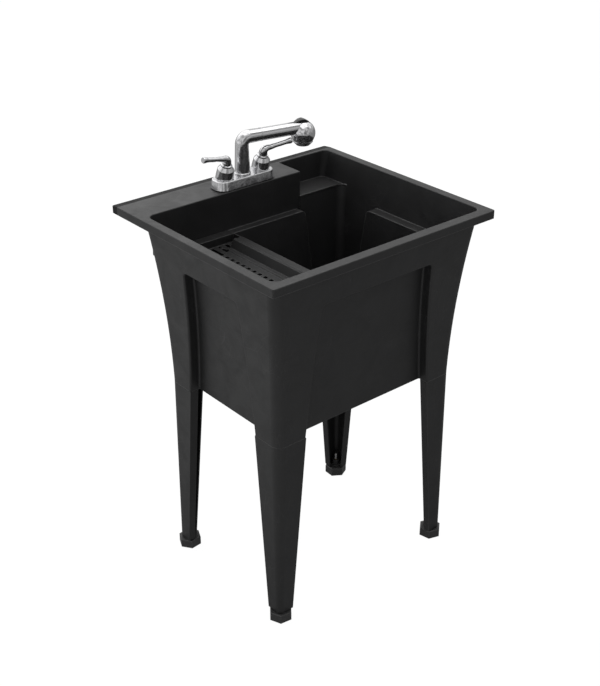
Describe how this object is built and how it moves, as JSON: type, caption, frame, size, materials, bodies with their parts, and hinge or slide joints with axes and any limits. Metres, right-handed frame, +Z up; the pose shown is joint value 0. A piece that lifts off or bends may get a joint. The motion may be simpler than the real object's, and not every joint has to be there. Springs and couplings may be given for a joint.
{
  "type": "laundry sink",
  "caption": "Freestanding plastic laundry tub on tapered screw-on legs with levelling feet, sliding drainer tray, basket drain and a lever tap with pull-out ball spray.",
  "frame": {"origin": "on the floor, under the middle of the rim", "axes": "+X to the right of a person standing at the sink, +Y towards the wall behind it, +Z up; the front faces -Y"},
  "size_m": [0.61, 0.556, 0.989],
  "materials": {
    "black_plastic": "fine moulded grain, low sheen",
    "foot_plastic": "moulded, low sheen",
    "chrome": "polished plating",
    "brass": "machined",
    "steel": "zinc-plated",
    "stainless": "brushed",
    "rubber": "matt",
    "grey_plastic": "moulded",
    "white_plastic": "moulded",
    "toggle_black": "smooth"
  },
  "bodies": {
    "tub": {"tub": "black_plastic", "leg_front_left": "black_plastic", "leg_front_right": "black_plastic", "leg_rear_left": "black_plastic", "leg_rear_right": "black_plastic", "leg_screws": "steel", "leg_inserts": "brass", "strainer_body": "stainless", "drain_gasket": "rubber", "drain_locknut": "brass", "tail_washer": "white_plastic", "tailpiece": "chrome", "coupling_nut": "chrome", "tap_gasket": "rubber", "tap_base": "chrome", "tap_waterway": "brass", "shank_washers": "steel", "shank_nuts": "grey_plastic", "cartridge_hot": "white_plastic", "cartridge_cold": "white_plastic", "bonnet_nut_hot": "brass", "bonnet_nut_cold": "brass", "escutcheon_hot": "chrome", "escutcheon_cold": "chrome"},
    "foot_front_left": {"foot_pad_front_left": "foot_plastic", "foot_stud_front_left": "steel"},
    "foot_front_right": {"foot_pad_front_right": "foot_plastic", "foot_stud_front_right": "steel"},
    "foot_rear_left": {"foot_pad_rear_left": "foot_plastic", "foot_stud_rear_left": "steel"},
    "foot_rear_right": {"foot_pad_rear_right": "foot_plastic", "foot_stud_rear_right": "steel"},
    "tray": {"drainer_tray": "black_plastic"},
    "hot_handle": {"handle_hot": "chrome", "valve_stem_hot": "brass", "handle_screw_hot": "steel"},
    "cold_handle": {"handle_cold": "chrome", "valve_stem_cold": "brass", "handle_screw_cold": "steel"},
    "spout": {"spout": "chrome", "spout_seal": "rubber", "spout_liner": "white_plastic"},
    "spray": {"spray_wand": "chrome", "spray_head": "chrome", "spray_collar": "chrome", "spray_face": "grey_plastic", "toggle_pin": "steel"},
    "toggle": {"toggle": "toggle_black"},
    "stopper": {"drain_stopper": "rubber"}
  },
  "joints": [
    {"name": "foot_front_left_level", "type": "slide", "parent": "tub", "child": "foot_front_left", "axis": [0, 0, 1], "range_m": [-0.012, 0]},
    {"name": "foot_front_right_level", "type": "slide", "parent": "tub", "child": "foot_front_right", "axis": [0, 0, 1], "range_m": [-0.012, 0]},
    {"name": "foot_rear_left_level", "type": "slide", "parent": "tub", "child": "foot_rear_left", "axis": [0, 0, 1], "range_m": [-0.012, 0]},
    {"name": "foot_rear_right_level", "type": "slide", "parent": "tub", "child": "foot_rear_right", "axis": [0, 0, 1], "range_m": [-0.012, 0]},
    {"name": "hot_handle_turn", "type": "hinge", "parent": "tub", "child": "hot_handle", "pos_m": [-0.0568, 0.202, 0.8845], "axis": [0, -0.2756, 0.9613], "range_deg": [0, 90]},
    {"name": "cold_handle_turn", "type": "hinge", "parent": "tub", "child": "cold_handle", "pos_m": [0.0448, 0.202, 0.8845], "axis": [0, -0.2756, 0.9613], "range_deg": [-90, 0]},
    {"name": "spout_swivel", "type": "hinge", "parent": "tub", "child": "spout", "pos_m": [-0.006, 0.202, 0.92], "axis": [0, 0, 1], "range_deg": [-148, 11]},
    {"name": "wand_pull", "type": "slide", "parent": "spout", "child": "spray", "axis": [0.981, -0.1942, 0], "range_m": [0, 0.06]},
    {"name": "toggle_rock", "type": "hinge", "parent": "spray", "child": "toggle", "pos_m": [0.14654, 0.1718, 0.9756], "axis": [0.1942, 0.981, 0], "range_deg": [0, 5]},
    {"name": "tray_slide", "type": "slide", "parent": "tub", "child": "tray", "axis": [1, 0, 0], "range_m": [0, 0.3]},
    {"name": "stopper_lift", "type": "slide", "parent": "tub", "child": "stopper", "axis": [0, 0, 1], "range_m": [0, 0.3]}
  ]
}
